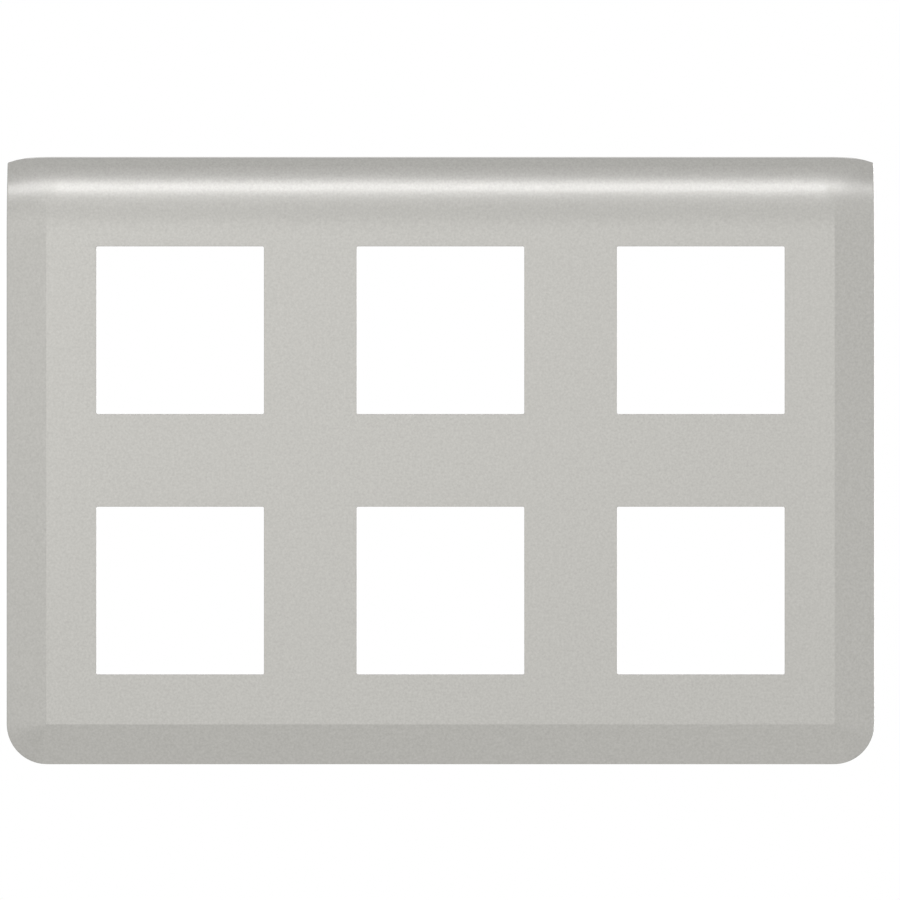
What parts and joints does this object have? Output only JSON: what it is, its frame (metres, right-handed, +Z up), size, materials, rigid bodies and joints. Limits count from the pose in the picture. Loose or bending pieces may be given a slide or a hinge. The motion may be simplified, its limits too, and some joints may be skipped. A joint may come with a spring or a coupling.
{
  "type": "switch plate",
  "caption": "Rectangular wall cover plate with a grid of square windows for modular switches, sloping side and bottom borders, a rolled top edge and a hollow ribbed back with clips.",
  "frame": {"origin": "middle of the plate's outline, on the wall plane that the rear rim lies in", "axes": "+X to the right seen from the front, +Z up, front facing -Y"},
  "size_m": [0.237, 0.0095, 0.166],
  "materials": {
    "lacquer": "satin aluminium-effect lacquer on moulded plastic"
  },
  "bodies": {
    "root": {"cover_plate": "lacquer"}
  },
  "joints": []
}
